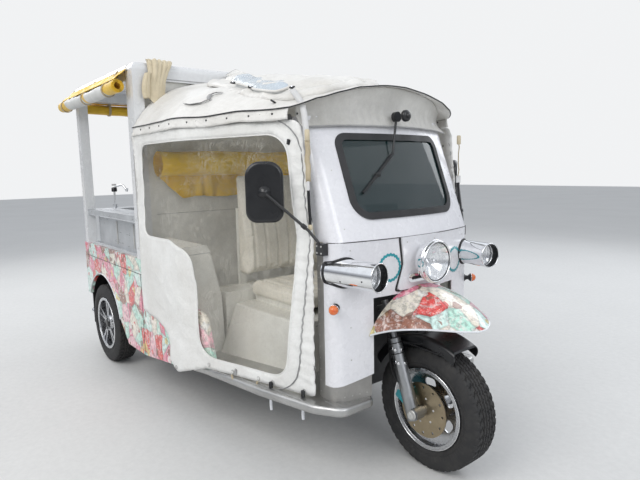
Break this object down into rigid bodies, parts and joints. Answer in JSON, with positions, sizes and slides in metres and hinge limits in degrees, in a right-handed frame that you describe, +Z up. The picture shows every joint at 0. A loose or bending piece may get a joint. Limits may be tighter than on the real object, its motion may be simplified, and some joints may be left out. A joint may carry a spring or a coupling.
{
  "type": "auto rickshaw with vending box",
  "caption": "Three-wheeled auto rickshaw with a curtained cab, vending box on posts, raked front fork and spoked rear wheels; wheels roll and the fork steers.",
  "frame": {"origin": "on the ground under the middle of the vehicle's length and width", "axes": "+X forward along the vehicle's length, +Y to its left, +Z up"},
  "size_m": [3.0199, 1.5658, 1.892],
  "materials": {
    "black_paint": "satin",
    "aluminium_trim": "satin",
    "white_paint": "gloss",
    "stainless": "brushed",
    "screen_glass": "clear",
    "black_rubber": "matte",
    "black_plastic": "matte",
    "chrome": "polished",
    "lamp_glass": "clear",
    "amber_lens": "gloss",
    "printed_paint": "gloss",
    "black_steel": "gloss",
    "aluminium_tube": "satin",
    "white_vinyl": "coated",
    "clear_film": "clear",
    "yellow_fabric": "coated",
    "white_moulding": "satin",
    "cream_leather": "satin",
    "aluminium_profile": "satin",
    "cast_metal": "rough",
    "satin_alloy": "satin",
    "teal_paint": "satin",
    "tyre": "matte",
    "rim_alloy": "satin",
    "disc_steel": "brushed"
  },
  "bodies": {
    "body": {"chassis_frame": "black_paint", "floor_pan": "aluminium_trim", "wheel_well": "black_paint", "nose_cowl": "white_paint", "windscreen_surround": "white_paint", "headlamp_panel": "white_paint", "kick_panels": "stainless", "windscreen_glass": "screen_glass", "windscreen_gasket": "black_rubber", "wiper": "black_plastic", "lamp_housings": "chrome", "lamp_lenses": "lamp_glass", "signal_lamps": "amber_lens", "front_mudguard": "printed_paint", "mirror_arms": "black_steel", "mirror_heads": "black_plastic", "dashboard": "black_plastic", "canopy_frame": "aluminium_tube", "canopy": "white_vinyl", "roof_bundle": "white_vinyl", "door_curtains": "white_vinyl", "door_windows": "clear_film", "cab_drape": "yellow_fabric", "seat_base": "white_moulding", "seat_cushion": "cream_leather", "seat_back": "cream_leather", "side_lockers": "white_moulding", "box_frame": "aluminium_profile", "box_roof": "white_paint", "bulkhead": "stainless", "side_panels": "printed_paint", "rear_panel": "white_paint", "counter": "stainless", "tap": "chrome", "awnings": "yellow_fabric", "rear_bumper": "chrome", "mud_flaps": "black_rubber", "rear_axle": "black_paint", "drive_unit": "cast_metal"},
    "steering": {"fork": "satin_alloy", "wheel_guard": "black_plastic", "handlebar": "black_steel", "brake_caliper": "teal_paint", "brake_hose": "black_rubber"},
    "front_wheel": {"front_tyre": "tyre", "front_rim": "rim_alloy", "front_brake_disc": "disc_steel"},
    "rear_wheel_right": {"rear_tyre_right": "tyre", "rear_rim_right": "rim_alloy"},
    "rear_wheel_left": {"rear_tyre_left": "tyre", "rear_rim_left": "rim_alloy"}
  },
  "joints": [
    {"name": "steering", "type": "hinge", "parent": "body", "child": "steering", "pos_m": [1.0261, 0, 0.72], "axis": [-0.3322, 0, 0.9432], "range_deg": [-35, 35]},
    {"name": "front_wheel_spin", "type": "hinge", "parent": "steering", "child": "front_wheel", "pos_m": [1.244, 0, 0.266], "axis": [0, 1, 0], "continuous": true},
    {"name": "rear_wheel_right_spin", "type": "hinge", "parent": "body", "child": "rear_wheel_right", "pos_m": [-1.046, -0.612, 0.266], "axis": [0, 1, 0], "continuous": true},
    {"name": "rear_wheel_left_spin", "type": "hinge", "parent": "body", "child": "rear_wheel_left", "pos_m": [-1.046, 0.612, 0.266], "axis": [0, 1, 0], "continuous": true}
  ]
}
